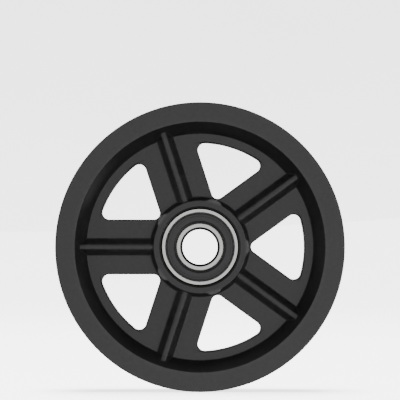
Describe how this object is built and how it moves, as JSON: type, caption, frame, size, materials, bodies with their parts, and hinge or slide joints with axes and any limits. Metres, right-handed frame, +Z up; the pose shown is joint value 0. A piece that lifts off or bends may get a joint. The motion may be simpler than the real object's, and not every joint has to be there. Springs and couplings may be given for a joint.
{
  "type": "grooved door roller",
  "caption": "Spoked black nylon roller with a grooved rim for a flat sliding-door rail, turning on a sealed steel ball bearing pressed into its hub.",
  "frame": {"origin": "centre of the wheel: on the axle line, midway between the two flange faces", "axes": "+Y along the axle towards the wheel's rear face, front face towards -Y, +Z up, one spoke along -X"},
  "size_m": [0.13, 0.022, 0.13],
  "materials": {
    "black_nylon": "moulded matte black nylon, finely grained",
    "ground_ring_steel": "turned and ground bearing steel, satin faces",
    "polished_ball_steel": "lapped and polished bearing balls",
    "pressed_steel": "pressed low-carbon steel strip",
    "seal_rubber": "moulded nitrile rubber, satin"
  },
  "bodies": {
    "axle_ring": {"bearing_inner_ring": "ground_ring_steel"},
    "roller": {"wheel": "black_nylon", "bearing_outer_ring": "ground_ring_steel", "seal_insert_rear": "pressed_steel", "seal_rear": "seal_rubber", "seal_insert_front": "pressed_steel", "seal_front": "seal_rubber"},
    "cage": {"cage_half_rear": "pressed_steel", "cage_half_front": "pressed_steel", "cage_rivet_01": "pressed_steel", "cage_rivet_02": "pressed_steel", "cage_rivet_03": "pressed_steel", "cage_rivet_04": "pressed_steel", "cage_rivet_05": "pressed_steel", "cage_rivet_06": "pressed_steel", "cage_rivet_07": "pressed_steel", "cage_rivet_08": "pressed_steel", "cage_rivet_09": "pressed_steel", "cage_rivet_10": "pressed_steel"},
    "ball_01": {"bearing_ball_01": "polished_ball_steel"},
    "ball_02": {"bearing_ball_02": "polished_ball_steel"},
    "ball_03": {"bearing_ball_03": "polished_ball_steel"},
    "ball_04": {"bearing_ball_04": "polished_ball_steel"},
    "ball_05": {"bearing_ball_05": "polished_ball_steel"},
    "ball_06": {"bearing_ball_06": "polished_ball_steel"},
    "ball_07": {"bearing_ball_07": "polished_ball_steel"},
    "ball_08": {"bearing_ball_08": "polished_ball_steel"},
    "ball_09": {"bearing_ball_09": "polished_ball_steel"},
    "ball_10": {"bearing_ball_10": "polished_ball_steel"}
  },
  "joints": [
    {"name": "wheel_spin", "type": "hinge", "parent": "axle_ring", "child": "roller", "pos_m": [0, 0, 0], "axis": [0, 1, 0], "continuous": true},
    {"name": "cage_spin", "type": "hinge", "parent": "axle_ring", "child": "cage", "pos_m": [0, 0, 0], "axis": [0, 1, 0], "continuous": true},
    {"name": "ball_01_spin", "type": "hinge", "parent": "cage", "child": "ball_01", "pos_m": [0, 0, 0.0127], "axis": [0, 1, 0], "continuous": true},
    {"name": "ball_02_spin", "type": "hinge", "parent": "cage", "child": "ball_02", "pos_m": [0.00746, 0, 0.01027], "axis": [0, 1, 0], "continuous": true},
    {"name": "ball_03_spin", "type": "hinge", "parent": "cage", "child": "ball_03", "pos_m": [0.01208, 0, 0.00392], "axis": [0, 1, 0], "continuous": true},
    {"name": "ball_04_spin", "type": "hinge", "parent": "cage", "child": "ball_04", "pos_m": [0.01208, 0, -0.00392], "axis": [0, 1, 0], "continuous": true},
    {"name": "ball_05_spin", "type": "hinge", "parent": "cage", "child": "ball_05", "pos_m": [0.00746, 0, -0.01027], "axis": [0, 1, 0], "continuous": true},
    {"name": "ball_06_spin", "type": "hinge", "parent": "cage", "child": "ball_06", "pos_m": [0, 0, -0.0127], "axis": [0, 1, 0], "continuous": true},
    {"name": "ball_07_spin", "type": "hinge", "parent": "cage", "child": "ball_07", "pos_m": [-0.00746, 0, -0.01027], "axis": [0, 1, 0], "continuous": true},
    {"name": "ball_08_spin", "type": "hinge", "parent": "cage", "child": "ball_08", "pos_m": [-0.01208, 0, -0.00392], "axis": [0, 1, 0], "continuous": true},
    {"name": "ball_09_spin", "type": "hinge", "parent": "cage", "child": "ball_09", "pos_m": [-0.01208, 0, 0.00392], "axis": [0, 1, 0], "continuous": true},
    {"name": "ball_10_spin", "type": "hinge", "parent": "cage", "child": "ball_10", "pos_m": [-0.00746, 0, 0.01027], "axis": [0, 1, 0], "continuous": true}
  ],
  "couplings": [
    {"joint": "cage_spin", "follows": "wheel_spin", "ratio": 0.59375},
    {"joint": "ball_01_spin", "follows": "wheel_spin", "ratio": 2.5729},
    {"joint": "ball_02_spin", "follows": "wheel_spin", "ratio": 2.5729},
    {"joint": "ball_03_spin", "follows": "wheel_spin", "ratio": 2.5729},
    {"joint": "ball_04_spin", "follows": "wheel_spin", "ratio": 2.5729},
    {"joint": "ball_05_spin", "follows": "wheel_spin", "ratio": 2.5729},
    {"joint": "ball_06_spin", "follows": "wheel_spin", "ratio": 2.5729},
    {"joint": "ball_07_spin", "follows": "wheel_spin", "ratio": 2.5729},
    {"joint": "ball_08_spin", "follows": "wheel_spin", "ratio": 2.5729},
    {"joint": "ball_09_spin", "follows": "wheel_spin", "ratio": 2.5729},
    {"joint": "ball_10_spin", "follows": "wheel_spin", "ratio": 2.5729}
  ]
}
